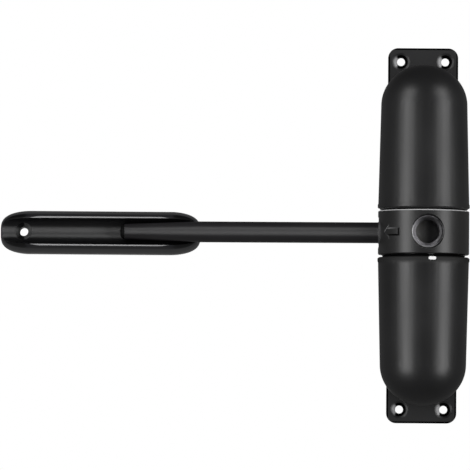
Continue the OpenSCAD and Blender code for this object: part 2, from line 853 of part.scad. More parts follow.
back_plate();
lug(up);  // upper_lug
lug(down);  // lower_lug
rivets(up);  // upper_rivets
rivets(down);  // lower_rivets
upper_housing();
lower_housing();
case_screws(up);  // upper_housing_screws
case_screws(down);  // lower_housing_screws
stop_pin();
stop_plug();
spindle();
circlip(up);  // upper_circlip
circlip(down);  // lower_circlip
anchor(up);  // upper_anchor
anchor(down);  // lower_anchor
dowels(up);  // upper_dowels
dowels(down);  // lower_dowels
spacer(up);  // upper_spacer
spacer(down);  // lower_spacer
thrust_washer(up);  // upper_thrust_washer
thrust_washer(down);  // lower_thrust_washer
spring(up);  // upper_spring
spring(down);  // lower_spring
collar();
drive_hub();
drive_key();
bush(up);  // upper_bush
bush(down);  // lower_bush
drive_disc(up);  // upper_drive_disc
drive_disc(down);  // lower_drive_disc
socket(arm_socket_turn, arm_socket_face);  // arm_socket
socket(front_socket_turn, socket_face);  // front_socket
arm_rod();
nose_plug();
guide_shoe();
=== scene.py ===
"""Looks of the spring door closer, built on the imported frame. Metres, +Z up, front to -Y."""

import json
import math

import bmesh
import bpy
from mathutils import Matrix, Vector


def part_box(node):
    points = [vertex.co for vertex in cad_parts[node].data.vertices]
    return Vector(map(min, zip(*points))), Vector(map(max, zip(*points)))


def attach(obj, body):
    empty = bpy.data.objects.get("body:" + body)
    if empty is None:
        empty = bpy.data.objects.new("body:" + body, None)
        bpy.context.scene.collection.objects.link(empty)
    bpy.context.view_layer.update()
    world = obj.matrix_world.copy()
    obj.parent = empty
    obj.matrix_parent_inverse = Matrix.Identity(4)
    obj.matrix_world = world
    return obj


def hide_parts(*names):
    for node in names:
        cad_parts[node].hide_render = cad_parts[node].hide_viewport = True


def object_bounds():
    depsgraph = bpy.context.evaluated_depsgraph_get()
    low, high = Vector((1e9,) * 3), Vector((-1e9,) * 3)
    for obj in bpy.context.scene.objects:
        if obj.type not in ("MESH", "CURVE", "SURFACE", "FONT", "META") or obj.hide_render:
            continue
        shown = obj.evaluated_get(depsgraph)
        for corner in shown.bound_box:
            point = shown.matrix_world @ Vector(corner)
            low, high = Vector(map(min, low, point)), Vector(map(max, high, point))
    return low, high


MM = 0.001
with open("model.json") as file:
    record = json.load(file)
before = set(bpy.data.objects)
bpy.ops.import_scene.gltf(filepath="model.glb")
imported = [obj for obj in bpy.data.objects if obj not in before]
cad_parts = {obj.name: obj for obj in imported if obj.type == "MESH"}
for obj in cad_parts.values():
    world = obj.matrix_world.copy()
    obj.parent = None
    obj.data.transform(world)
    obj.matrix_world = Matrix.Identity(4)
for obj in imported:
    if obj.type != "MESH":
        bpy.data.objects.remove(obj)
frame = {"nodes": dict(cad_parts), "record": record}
cad_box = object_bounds()
record = frame["record"]
scene = bpy.context.scene
Y = Vector((0, 1, 0))
Z = Vector((0, 0, 1))

# Driving places and sizes, read from the frame
swing = next(joint for joint in record["behaviour"]["joints"] if joint["name"] == "arm_swing")
SPINDLE = Vector(swing["pos_m"])
mounts = {mount["name"]: mount for mount in record["mounts"]}
FRONT = Vector(mounts["spare_socket"]["axis"]).normalized()
BORE_R = mounts["spare_socket"]["dims"]["r_mm"] * MM
plate_screws = mounts["plate_screws"]["dims"]
SCREW_X = plate_screws["spacing_x_mm"] / 2 * MM
SCREW_Z = plate_screws["spacing_y_mm"] / 2 * MM
SCREW_HOLE_R = plate_screws["hole_r_mm"] * MM
shoe_screws = mounts["shoe_screws"]["dims"]
SHOE_SCREW_X = shoe_screws["spacing_x_mm"] / 2 * MM
SHOE_HOLE_R = shoe_screws["hole_r_mm"] * MM
plate_low, plate_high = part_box("back_plate")
PLATE_H = plate_high.z - plate_low.z
collar_low, collar_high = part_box("collar")
COLLAR_H = collar_high.z - collar_low.z
socket_low, socket_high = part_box("arm_socket")
SOCKET_R = (socket_high.z - socket_low.z) / 2
SLOT_OF = {row["node"]: row["material_slot"] for row in record["subparts"]}
BODY_OF = {node: body for body, nodes in record["behaviour"]["bodies"].items() for node in nodes}

# Sizes that looks and meshes share
SINK_R = 4 * MM
COLLAR_R = 20.5 * MM
HUB_R = 8 * MM
SOCKET_FACE = 19.05 * MM
ARROW_RAISE = 0.45 * MM


# Shader nodes


def math_node(tree, operation, first, second=0.0):
    """A Math node. Each operand is a socket or a number."""
    node = tree.nodes.new("ShaderNodeMath")
    node.operation = operation
    for operand, socket in ((first, node.inputs[0]), (second, node.inputs[1])):
        if isinstance(operand, (int, float)):
            socket.default_value = operand
        else:
            tree.links.new(operand, socket)
    return node.outputs[0]


def times(tree, first, second):
    """The product of two values."""
    return math_node(tree, "MULTIPLY", first, second)


def absolute(tree, value):
    """A value without its sign."""
    return math_node(tree, "ABSOLUTE", value)


def greater(tree, first, second):
    """The greater of two values."""
    return math_node(tree, "MAXIMUM", first, second)


def smooth_range(tree, value, start, end, low, high):
    """Goes smoothly from low to high as the value goes from start to end, and no further."""
    node = tree.nodes.new("ShaderNodeMapRange")
    node.interpolation_type = "SMOOTHSTEP"
    for socket, number in zip(node.inputs[1:5], (start, end, low, high)):
        socket.default_value = number
    tree.links.new(value, node.inputs["Value"])
    return node.outputs["Result"]


def from_point(tree, point):
    """The place on the object, counted from a point, as three numbers."""
    coords = tree.nodes.new("ShaderNodeTexCoord")
    shift = tree.nodes.new("ShaderNodeVectorMath")
    shift.operation = "SUBTRACT"
    shift.inputs[1].default_value = point
    split = tree.nodes.new("ShaderNodeSeparateXYZ")
    tree.links.new(coords.outputs["Object"], shift.inputs[0])
    tree.links.new(shift.outputs[0], split.inputs[0])
    return split.outputs


def flat_distance(tree, first, second):
    """The distance from a line, out of the two distances across it."""
    squares = [times(tree, side, side) for side in (first, second)]
    return math_node(tree, "SQRT", math_node(tree, "ADD", *squares))


def noise(tree, scale, detail=2.0, stretch=(1, 1, 1)):
    """Noise in the object's own coordinates, with so many features to the metre."""
    coords = tree.nodes.new("ShaderNodeTexCoord")
    mapping = tree.nodes.new("ShaderNodeMapping")
    mapping.inputs["Scale"].default_value = stretch
    texture = tree.nodes.new("ShaderNodeTexNoise")
    texture.inputs["Scale"].default_value = scale
    texture.inputs["Detail"].default_value = detail
    tree.links.new(coords.outputs["Object"], mapping.inputs["Vector"])
    tree.links.new(mapping.outputs["Vector"], texture.inputs["Vector"])
    return texture.outputs["Fac"]


# Materials

# Nearly all of a noise lies between these two levels
NOISE_LOW = 0.3
NOISE_HIGH = 0.7
COAT_DRIFT_SCALE = 40
COAT_TONES = (0.85, 1.15)
COAT_ROUGH = (-0.02, 0.03)
PEEL_STRENGTH = 0.3
METAL_PATCH_SCALE = 150
METAL_TONES = (0.85, 1.06)
METAL_ROUGH = (-0.06, 0.08)
METAL_LEVEL = 0.5
BRUSH_SCALE = 900
BRUSH_DETAIL = 3
BRUSH_STRENGTH = 0.25
BRUSH_DEPTH = 0.01 * MM


def new_material(name, slot, metallic, rough, level):
    """A material that starts from the record's colour for its slot."""
    mat = bpy.data.materials.new(name)
    mat.use_nodes = True
    shader = mat.node_tree.nodes["Principled BSDF"]
    row = next(entry for entry in record["materials"] if entry["slot"] == slot)
    colour = row["base_color"][:3]
    shader.inputs["Base Color"].default_value = (*colour, 1)
    shader.inputs["Metallic"].default_value = metallic
    shader.inputs["Roughness"].default_value = rough
    shader.inputs["Specular IOR Level"].default_value = level
    return mat, mat.node_tree, shader, colour


def spread(tree, source, middle, changes, socket):
    """Drives a number down and up from a middle value by a noise."""
    span = tree.nodes.new("ShaderNodeMapRange")
    span.inputs["From Min"].default_value = NOISE_LOW
    span.inputs["From Max"].default_value = NOISE_HIGH
    span.inputs["To Min"].default_value = middle + changes[0]
    span.inputs["To Max"].default_value = middle + changes[1]
    tree.links.new(source, span.inputs["Value"])
    tree.links.new(span.outputs["Result"], socket)


def tint(tree, source, colour, tones, socket):
    """Drives a colour between two tones of it, a dark and a light one, by a noise."""
    ramp = tree.nodes.new("ShaderNodeValToRGB")
    for element, position, tone in zip(ramp.color_ramp.elements, (NOISE_LOW, NOISE_HIGH), tones):
        element.position = position
        element.color = (*(min(channel * tone, 1.0) for channel in colour), 1)
    tree.links.new(source, ramp.inputs["Fac"])
    tree.links.new(ramp.outputs["Color"], socket)


def relief(tree, shader, height, strength, depth):
    """Bumps the surface by a noise."""
    bump = tree.nodes.new("ShaderNodeBump")
    bump.inputs["Strength"].default_value = strength
    bump.inputs["Distance"].default_value = depth
    tree.links.new(height, bump.inputs["Height"])
    tree.links.new(bump.outputs["Normal"], shader.inputs["Normal"])


def coated(name, slot, rough, level, grain, depth, lift=1.0):
    """Sprayed coat or moulded plastic: a fine peel, and gloss and tone that drift slowly."""
    mat, tree, shader, colour = new_material(name, slot, 0, rough, level)
    drift = noise(tree, COAT_DRIFT_SCALE)
    tint(tree, drift, colour, [tone * lift for tone in COAT_TONES], shader.inputs["Base Color"])
    spread(tree, drift, rough, COAT_ROUGH, shader.inputs["Roughness"])
    relief(tree, shader, noise(tree, grain), PEEL_STRENGTH, depth)
    return mat


def metal(name, slot, rough, stretch):
    """Bare or plated metal, brushed along one direction."""
    mat, tree, shader, colour = new_material(name, slot, 1, rough, METAL_LEVEL)
    patches = noise(tree, METAL_PATCH_SCALE, BRUSH_DETAIL)
    brush = noise(tree, BRUSH_SCALE, BRUSH_DETAIL, stretch)
    tint(tree, patches, colour, METAL_TONES, shader.inputs["Base Color"])
    spread(tree, brush, rough, METAL_ROUGH, shader.inputs["Roughness"])
    relief(tree, shader, brush, BRUSH_STRENGTH, BRUSH_DEPTH)
    return mat


ROUND = (1, 1, 1)
UPRIGHT = (1, 1, 0.06)
MATERIALS = {
    "satin_black_steel": coated("coat_plate", "satin_black_steel", 0.42, 0.5, 1500, 0.02 * MM),
    "satin_black_shell": coated("coat_shell", "satin_black_shell", 0.39, 0.45, 1700, 0.015 * MM),
    "satin_black_collar": coated("coat_collar", "satin_black_collar", 0.37, 0.45, 1700, 0.015 * MM),
    "satin_black_rod": coated("coat_rod", "satin_black_rod", 0.48, 0.62, 1700, 0.015 * MM),
    "black_oxide_steel": coated("oxide", "black_oxide_steel", 0.35, 0.5, 2400, 0.01 * MM, 3.2),
    "dark_steel": metal("dark_zinc", "dark_steel", 0.42, ROUND),
    "gloss_black_shoe": coated("shoe_skin", "gloss_black_shoe", 0.4, 0.5, 1500, 0.04 * MM, 3.2),
    # White nylon for the stop pin: its pale tone stands partly for a glint on the pin's head, a painted
    # highlight
    "white_nylon": coated("nylon_white", "white_nylon", 0.4, 0.5, 900, 0.01 * MM),
    # Black nylon, darkened further and with little gleam: partly painted shade at the arm's tip, on the
    # nose plug
    "black_nylon": coated("nylon", "black_nylon", 0.6, 0.06, 2000, 0.01 * MM, 0.3),
    "zinc_steel": metal("zinc", "zinc_steel", 0.32, ROUND),
    "bright_steel": metal("bright", "bright_steel", 0.24, UPRIGHT),
    "spring_steel": metal("spring_wire", "spring_steel", 0.34, UPRIGHT),
    "bronze": metal("bronze_bush", "bronze", 0.36, ROUND),
}
SHOE_POLISH = coated("shoe_polish", "gloss_black_shoe", 0.45, 0.72, 900, 0.01 * MM, 0.6)
QUARTER_TURN = 0.25


def spread_highlight(mat, amount):
    """Spreads a material's highlight along X, as turning or drawing does."""
    tree = mat.node_tree
    shader = tree.nodes["Principled BSDF"]
    shader.inputs["Anisotropic"].default_value = amount
    shader.inputs["Anisotropic Rotation"].default_value = QUARTER_TURN
    tangent = tree.nodes.new("ShaderNodeTangent")
    tangent.direction_type = "RADIAL"
    tangent.axis = "X"
    tree.links.new(tangent.outputs["Tangent"], shader.inputs["Tangent"])


spread_highlight(MATERIALS["satin_black_rod"], 0.945)
spread_highlight(MATERIALS["gloss_black_shoe"], 0.85)
spread_highlight(SHOE_POLISH, 0.96)


# Painted highlights, painted light and painted shade, each by an amount that varies over the surface
PAINTED_SHADE = (0.002, 0.002, 0.002)
PAINTED_SOCKET_SHADE = (0.02, 0.02, 0.02)
PAINTED_HIGHLIGHT = (0.6, 0.6, 0.61)
PAINTED_ZINC_HIGHLIGHT = (0.55, 0.55, 0.56)
PAINTED_BORE_LIGHT = (0.035, 0.035, 0.036)
PAINTED_BORE_HIGHLIGHT = (0.8, 0.8, 0.75)


def recolour(mat, amount, colour):
    """Blends a material's colour to another."""
    tree = mat.node_tree
    socket = tree.nodes["Principled BSDF"].inputs["Base Color"]
    mix = tree.nodes.new("ShaderNodeMix")
    mix.data_type = "RGBA"
    tree.links.new(amount, mix.inputs["Factor"])
    tree.links.new(socket.links[0].from_socket, mix.inputs["A"])
    mix.inputs["B"].default_value = (*colour, 1)
    tree.links.new(mix.outputs["Result"], socket)


def roughen(mat, share):
    """Raises a material's roughness by a share of it, or lowers it where that is negative."""
    tree = mat.node_tree
    socket = tree.nodes["Principled BSDF"].inputs["Roughness"]
    factor = math_node(tree, "ADD", share, 1)
    tree.links.new(times(tree, socket.links[0].from_socket, factor), socket)


def paint_black_shade(mat, amount):
    """Paints shade into a material: makes it black and takes its gleam away."""
    recolour(mat, amount, PAINTED_SHADE)
    mat.node_tree.links.new(amount, mat.node_tree.nodes["Principled BSDF"].inputs["Metallic"])


# Reach of the plate's painted highlight and painted shade: distances from a screw's middle, and the
# sideways part of a direction
SINK_HIGHLIGHT_R = (2.2 * MM, SINK_R - 0.1 * MM)
SINK_SHADE_R = (2.9 * MM, 3.3 * MM)
SINK_LEFT = (-0.8, -0.45)
SINK_HIGHLIGHT = 0.65
SINK_SMOOTHED = -0.6
EDGE_BAND = 0.8 * MM
EDGE_BLUR = 0.1 * MM


def paint_plate_light_and_shade(mat):
    """Paints a highlight on the countersinks' left and makes it smooth, and paints shade black on their
    right and the plate's rim.
    """
    tree = mat.node_tree
    place_x, _, place_z = from_point(tree, (0, 0, 0))
    far_x = absolute(tree, place_x)
    far_z = absolute(tree, place_z)
    side_x = math_node(tree, "SUBTRACT", far_x, SCREW_X)
    side_z = math_node(tree, "SUBTRACT", far_z, SCREW_Z)
    from_screw = flat_distance(tree, side_x, side_z)
    near_hole = smooth_range(tree, from_screw, *SINK_HIGHLIGHT_R, 1, 0)
    in_shade = smooth_range(tree, from_screw, *SINK_SHADE_R, 1, 0)
    screw_x = times(tree, side_x, math_node(tree, "SIGN", place_x))
    rightward = math_node(tree, "DIVIDE", screw_x, from_screw)
    leftward = smooth_range(tree, rightward, *SINK_LEFT, 1, 0)
    on_left = times(tree, near_hole, leftward)
    on_right = times(tree, in_shade, math_node(tree, "SUBTRACT", 1, leftward))
    recolour(mat, times(tree, on_left, SINK_HIGHLIGHT), PAINTED_HIGHLIGHT)
    from_side = math_node(tree, "SUBTRACT", far_x, plate_high.x - EDGE_BAND)
    from_end = math_node(tree, "SUBTRACT", far_z, PLATE_H / 2 - EDGE_BAND)
    at_edge = smooth_range(tree, greater(tree, from_side, from_end), -EDGE_BLUR, EDGE_BLUR, 0, 1)
    paint_black_shade(mat, greater(tree, on_right, at_edge))
    roughen(mat, times(tree, on_left, SINK_SMOOTHED))


# Reach of the painted highlight on the collar's edge and of the painted light on the collar and the
# hub, from the spindle's middle
BORE_LIT_X = (-3 * MM, 3 * MM)
BORE_LIT = 0.38
HUB_SIDE_X = (-HUB_R - 0.5 * MM, -HUB_R + 0.5 * MM)
HUB_NEAR_R = (HUB_R + 1.5 * MM, HUB_R + 2.5 * MM)
BORE_NEAR_Z = (BORE_R + 0.2 * MM, BORE_R + 0.6 * MM)
TOP_EDGE_Z = (COLLAR_H / 2 - 0.55 * MM, COLLAR_H / 2 - 0.3 * MM)
TOP_EDGE_R = (COLLAR_R - 0.9 * MM, COLLAR_R - 0.5 * MM)
TOP_EDGE_HIGHLIGHT = 0.75


def paint_bore_end_light(mat, place_x, inside):
    """Paints light on what shows at the end of the front socket's bore, more towards its left."""
    tree = mat.node_tree
    lit_share = smooth_range(tree, place_x, *BORE_LIT_X, BORE_LIT, 0)
    recolour(mat, times(tree, inside, lit_share), PAINTED_BORE_HIGHLIGHT)


def paint_hub_light(mat):
    """Paints light on the hub where the front socket's bore shows it."""
    tree = mat.node_tree
    place_x, _, _ = from_point(tree, SPINDLE)
    on_hub = smooth_range(tree, place_x, *HUB_SIDE_X, 0, 1)
    paint_bore_end_light(mat, place_x, on_hub)


def paint_collar_light(mat):
    """Paints a highlight along the upper edge, and paints light on the collar where the front socket's
    bore shows it.
    """
    tree = mat.node_tree
    place_x, place_y, place_z = from_point(tree, SPINDLE)
    from_axis = flat_distance(tree, place_x, place_y)
    on_top = smooth_range(tree, place_z, *TOP_EDGE_Z, 0, TOP_EDGE_HIGHLIGHT)
    on_rim = smooth_range(tree, from_axis, *TOP_EDGE_R, 0, 1)
    recolour(mat, times(tree, on_top, on_rim), PAINTED_HIGHLIGHT)
    near_hub = smooth_range(tree, from_axis, *HUB_NEAR_R, 1, 0)
    level_with_bore = smooth_range(tree, absolute(tree, place_z), *BORE_NEAR_Z, 1, 0)
    bore_end = times(tree, near_hub, level_with_bore)
    recolour(mat, bore_end, PAINTED_BORE_LIGHT)
    paint_bore_end_light(mat, place_x, bore_end)


# Reach of the arrow's painted highlight and painted shade: distances from the spindle, and how far a
# slope faces up and left
ARROW_FOOT_R = (COLLAR_R + 0.02 * MM, COLLAR_R + 0.08 * MM)
ARROW_FACE_R = (COLLAR_R + ARROW_RAISE - 0.06 * MM, COLLAR_R + ARROW_RAISE)
ARROW_HIGHLIGHT_FACING = (1.3, 2.3)
ARROW_SHADE_FACING = (0.85, 1.15)
ARROW_HIGHLIGHT = 0.3
ARROW_SHADE = 0.75


def paint_arrow_light_and_shade(mat):
    """Paints a highlight on the arrow's slopes where they face up and left, and paints shade black on
    its other slopes.
    """
    tree = mat.node_tree
    place_x, place_y, _ = from_point(tree, SPINDLE)
    from_axis = flat_distance(tree, place_x, place_y)
    raised = smooth_range(tree, from_axis, *ARROW_FOOT_R, 0, 1)
    not_face = smooth_range(tree, from_axis, *ARROW_FACE_R, 1, 0)
    on_slope = times(tree, raised, not_face)
    coords = tree.nodes.new("ShaderNodeTexCoord")
    normal = tree.nodes.new("ShaderNodeSeparateXYZ")
    tree.links.new(coords.outputs["Normal"], normal.inputs[0])
    left_twice = times(tree, normal.outputs["X"], -2)
    up_left = math_node(tree, "ADD", normal.outputs["Z"], left_twice)
    lit = smooth_range(tree, up_left, *ARROW_HIGHLIGHT_FACING, 0, ARROW_HIGHLIGHT)
    recolour(mat, times(tree, on_slope, lit), PAINTED_HIGHLIGHT)
    dark = smooth_range(tree, up_left, *ARROW_SHADE_FACING, ARROW_SHADE, 0)
    paint_black_shade(mat, times(tree, on_slope, dark))


# Heights of the housings' gap and of the lower one's rim band, from the spindle's middle
GAP_Z = (10.85 * MM, 11.05 * MM)
RIM_BAND_Z = (-14.7 * MM, -12.2 * MM)
BAND_ROUGHER = 0.8
GAP_SMOOTHER = 1.3


def paint_housing_shade(mat):
    """Paints shade black into the gaps beside the collar, and into a rougher band at the lower
    housing's rim.
    """
    tree = mat.node_tree
    _, _, place_z = from_point(tree, SPINDLE)
    above = smooth_range(tree, place_z, *RIM_BAND_Z, 0, 1)
    below = math_node(tree, "LESS_THAN", place_z, 0)
    shaded_band = times(tree, above, below)
    in_gap = smooth_range(tree, absolute(tree, place_z), *GAP_Z, 1, 0)
    recolour(mat, greater(tree, shaded_band, in_gap), PAINTED_SHADE)
    rougher = times(tree, shaded_band, BAND_ROUGHER)
    smoother = times(tree, in_gap, GAP_SMOOTHER)
    roughen(mat, math_node(tree, "SUBTRACT", rougher, smoother))


# Reach of the front socket's painted highlight and painted shade, from the middle of its face
SOCKET_RIM_R = (SOCKET_R - 0.6 * MM, SOCKET_R - 0.4 * MM)
SOCKET_LIT = (-0.3 * SOCKET_R, 0.4 * SOCKET_R)
SOCKET_DIM = (-0.5 * SOCKET_R, 0.1 * SOCKET_R)
SOCKET_RIGHT_X = (0.3 * SOCKET_R, 0.7 * SOCKET_R)
SOCKET_SHADE = 0.8
TO_LEFT = 0.6
TO_BELOW = 0.8


def paint_socket_light_and_shade(mat):
    """Paints a highlight on the rim at its left and below, and paints shade on its right and the rest
    of its mouth.
    """
    tree = mat.node_tree
    place_x, _, place_z = from_point(tree, SPINDLE + FRONT * SOCKET_FACE)
    from_middle = flat_distance(tree, place_x, place_z)
    on_rim = smooth_range(tree, from_middle, *SOCKET_RIM_R, 0, 1)
    left = times(tree, place_x, -TO_LEFT)
    below = times(tree, place_z, -TO_BELOW)
    down_left = math_node(tree, "ADD", left, below)
    lit_side = smooth_range(tree, down_left, *SOCKET_LIT, 0, 1)
    recolour(mat, times(tree, on_rim, lit_side), PAINTED_ZINC_HIGHLIGHT)
    dim_side = smooth_range(tree, down_left, *SOCKET_DIM, SOCKET_SHADE, 0)
    in_mouth = times(tree, dim_side, math_node(tree, "SUBTRACT", 1, on_rim))
    on_right = smooth_range(tree, place_x, *SOCKET_RIGHT_X, 0, SOCKET_SHADE)
    recolour(mat, greater(tree, in_mouth, on_right), PAINTED_SOCKET_SHADE)


paint_plate_light_and_shade(MATERIALS["satin_black_steel"])
paint_collar_light(MATERIALS["satin_black_collar"])
paint_arrow_light_and_shade(MATERIALS["satin_black_collar"])
paint_housing_shade(MATERIALS["satin_black_shell"])
paint_socket_light_and_shade(MATERIALS["dark_steel"])
paint_hub_light(MATERIALS["black_oxide_steel"])
for node, cad_object in frame["nodes"].items():
    cad_object.data.materials.clear()
    cad_object.data.materials.append(MATERIALS[SLOT_OF[node]])


# Mesh tools
WELD = 0.003 * MM
ON_AXIS = 0.001 * MM
FLAT_ANGLE = math.radians(0.5)

# Degrees between the faces of a copied solid: shaded smooth up to one, rounded from the other
SMOOTH_UP_TO = 32
ROUNDED_FROM = 40

# Sides of round forms
SMALL_HOLE_SIDES = 48
HOLE_SIDES = 64
BORE_SIDES = 128
COLLAR_SIDES = 192


def piece(name, bm, node, sharp, replace=True):
    """Makes a piece with a CAD node's body and finish, which replaces the node or adds to it."""
    mesh = bpy.data.meshes.new(name)
    bmesh.ops.recalc_face_normals(bm, faces=bm.faces)
    bm.to_mesh(mesh)
    bm.free()
    for attribute in ("custom_normal", "sharp_face"):
        if attribute in mesh.attributes:
            mesh.attributes.remove(mesh.attributes[attribute])
    mesh.polygons.foreach_set("use_smooth", [True] * len(mesh.polygons))
    mesh.set_sharp_from_angle(angle=math.radians(sharp))
    mesh.materials.append(MATERIALS[SLOT_OF[node]])
    made = bpy.data.objects.new(name, mesh)
    scene.collection.objects.link(made)
    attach(made, BODY_OF[node])
    if replace:
        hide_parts(node)
    return made


def round_edges(made, width, segments, angle):
    """Rounds the sharp edges of a piece and evens its shading."""
    bevel = made.modifiers.new("rounding", "BEVEL")
    bevel.width = width
    bevel.segments = segments
    bevel.limit_method = "ANGLE"
    bevel.angle_limit = math.radians(angle)
    weighted = made.modifiers.new("shading", "WEIGHTED_NORMAL")
    weighted.keep_sharp = True


def dress(node, width):
    """Copies a CAD node's mesh, welds it, joins its flat faces and rounds its edges."""
    bm = bmesh.new()
    bm.from_mesh(frame["nodes"][node].data)
    bmesh.ops.remove_doubles(bm, verts=bm.verts, dist=WELD)
    bmesh.ops.dissolve_limit(bm, angle_limit=FLAT_ANGLE, verts=bm.verts, edges=bm.edges)
    made = piece(node + "_look", bm, node, sharp=SMOOTH_UP_TO)
    round_edges(made, width, segments=2, angle=ROUNDED_FROM)


def fillet(corners, steps=5):
    """Rounds an outline. Each corner is (u, v) or (u, v, radius)."""
    points = []
    for i, corner in enumerate(corners):
        here = Vector(corner[:2])
        radius = corner[2] if len(corner) > 2 else 0
        if radius == 0:
            points.append(here)
            continue
        before = (Vector(corners[i - 1][:2]) - here).normalized()
        after = (Vector(corners[i + 1][:2]) - here).normalized()
        half = before.angle(after) / 2
        middle = here + (before + after).normalized() * (radius / math.sin(half))
        first = here + before * (radius / math.tan(half)) - middle
        last = here + after * (radius / math.tan(half)) - middle
        turn = math.atan2(first.x * last.y - first.y * last.x, first.dot(last))
        for step in range(steps + 1):
            angle = turn * step / steps
            spun = Vector((
                first.x * math.cos(angle) - first.y * math.sin(angle),
                first.x * math.sin(angle) + first.y * math.cos(angle),
            ))
            points.append(middle + spun)
    return points


def revolve(bm, outline, origin, axis, sides):
    """Turns a closed outline of (radius, height) points about a line."""
    side = axis.orthogonal().normalized()
    other = axis.cross(side)
    rings = []
    for radius, height in outline:
        centre = origin + axis * height
        if radius < ON_AXIS:
            rings.append([bm.verts.new(centre)])
            continue
        ring = []
        for k in range(sides):
            angle = 2 * math.pi * k / sides
            out = side * math.cos(angle) + other * math.sin(angle)
            ring.append(bm.verts.new(centre + out * radius))
        rings.append(ring)
    for low, high in zip(rings, rings[1:] + rings[:1]):
        for k in range(sides):
            after = (k + 1) % sides
            if len(low) == 1 and len(high) == 1:
                continue
            if len(low) == 1:
                bm.faces.new((low[0], high[after], high[k]))
            elif len(high) == 1:
                bm.faces.new((low[k], low[after], high[0]))
            else:
                bm.faces.new((low[k], low[after], high[after], high[k]))


def loft(bm, rings):
    """Skins rings of equal numbers of points and closes both ends."""
    made = [[bm.verts.new(point) for point in ring] for ring in rings]
    count = len(made[0])
    for low, high in zip(made, made[1:]):
        for k in range(count):
            after = (k + 1) % count
            bm.faces.new((low[k], low[after], high[after], high[k]))
    bm.faces.new(list(reversed(made[0])))
    bm.faces.new(made[-1])


def temporary(bm, name):
    """An object for a cut, which is removed after it."""
    mesh = bpy.data.meshes.new(name)
    bmesh.ops.recalc_face_normals(bm, faces=bm.faces)
    bm.to_mesh(mesh)
    bm.free()
    made = bpy.data.objects.new(name, mesh)
    scene.collection.objects.link(made)
    return made


def carve(bm, cutters):
    """Cuts each of the closed cutter meshes out of a closed mesh, and gives the result."""
    blank = temporary(bm, "blank")
    tools = [temporary(cutter, "cutter") for cutter in cutters]
    for tool in tools:
        cut = blank.modifiers.new("cut", "BOOLEAN")
        cut.operation = "DIFFERENCE"
        cut.solver = "EXACT"
        cut.object = tool
    bpy.context.view_layer.update()
    result = bmesh.new()
    evaluated = blank.evaluated_get(bpy.context.evaluated_depsgraph_get())
    result.from_mesh(evaluated.to_mesh())
    evaluated.to_mesh_clear()
    for used in [blank] + tools:
        mesh = used.data
        bpy.data.objects.remove(used)
        bpy.data.meshes.remove(mesh)
    return result


# Guide shoe: superellipse levels up to a rounded crown, then its groove, holes and pockets
shoe_low, shoe_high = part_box("guide_shoe")
SHOE_L = shoe_high.x - shoe_low.x
SHOE_W = shoe_high.z - shoe_low.z
SHOE_H = shoe_high.y - shoe_low.y
SHOE_X = (shoe_low.x + shoe_high.x) / 2
SHOE_POWER = 3.5
SHOE_END_L = 14 * MM
EDGE_H = 1.2 * MM
SHOULDER_H = SHOE_H - 3 * MM
SHOULDER_IN_L = 1.4 * MM
SHOULDER_IN_W = 1.9 * MM
SHOULDER_END_L = SHOE_END_L - 1.6 * MM
TOP_IN_L = 11 * MM
TOP_HALF_W = 6.5 * MM
TOP_END_IN = 2.4 * MM
SIDE_POWER = 1.8
SIDE_CROWN = 1.15
END_CROWN = 1.5
SIDE_LEVELS = 6
CROWN_LEVELS = 12
ROUND_POINTS = 20
TIP_CROWDING = 1.7
SHOE_EDGE = 0.25 * MM
CUT_PAST = 1 * MM


def shoe_ring(height, half_l, half_w, end_l):
    """Plan outline of the shoe at a height above the wall, with its points closer at the tips."""
    ring = []
    for quarter in range(4):
        sx = 1 if quarter in (0, 3) else -1
        sz = 1 if quarter < 2 else -1
        for i in range(ROUND_POINTS):
            part = i / ROUND_POINTS
            if quarter % 2 == 0:
                angle = math.pi / 2 * part ** TIP_CROWDING
                along, up = math.cos(angle), math.sin(angle)
            else:
                angle = math.pi / 2 * (1 - (1 - part) ** TIP_CROWDING)
                along, up = math.sin(angle), math.cos(angle)
            x = sx * (half_l - end_l + end_l * along)
            z = sz * half_w * max(up, 0) ** (2 / SHOE_POWER)
            ring.append(Vector((SHOE_X + x, -height, SPINDLE.z + z)))
    return ring


def crowned(part, outer, inner, power):
    """Goes from outer to inner along a superellipse as part goes from 0 to 1."""
    return inner + (outer - inner) * (1 - part ** power) ** (1 / power)


half_l = SHOE_L / 2
half_w = SHOE_W / 2
shoe_levels = [(0, half_l, half_w, SHOE_END_L)]
for i in range(SIDE_LEVELS + 1):
    part = i / SIDE_LEVELS
    drawn_in = part ** SIDE_POWER
    shoe_levels.append((
        EDGE_H + (SHOULDER_H - EDGE_H) * part,
        half_l - SHOULDER_IN_L * drawn_in,
        half_w - SHOULDER_IN_W * drawn_in,
        SHOE_END_L + (SHOULDER_END_L - SHOE_END_L) * drawn_in,
    ))
for i in range(1, CROWN_LEVELS + 1):
    part = math.sin(math.pi / 2 * i / CROWN_LEVELS)
    shoe_levels.append((
        SHOULDER_H + (SHOE_H - SHOULDER_H) * part,
        crowned(part, half_l - SHOULDER_IN_L, half_l - TOP_IN_L, END_CROWN),
        crowned(part, half_w - SHOULDER_IN_W, TOP_HALF_W, SIDE_CROWN),
        SHOULDER_END_L - TOP_END_IN * part,
    ))

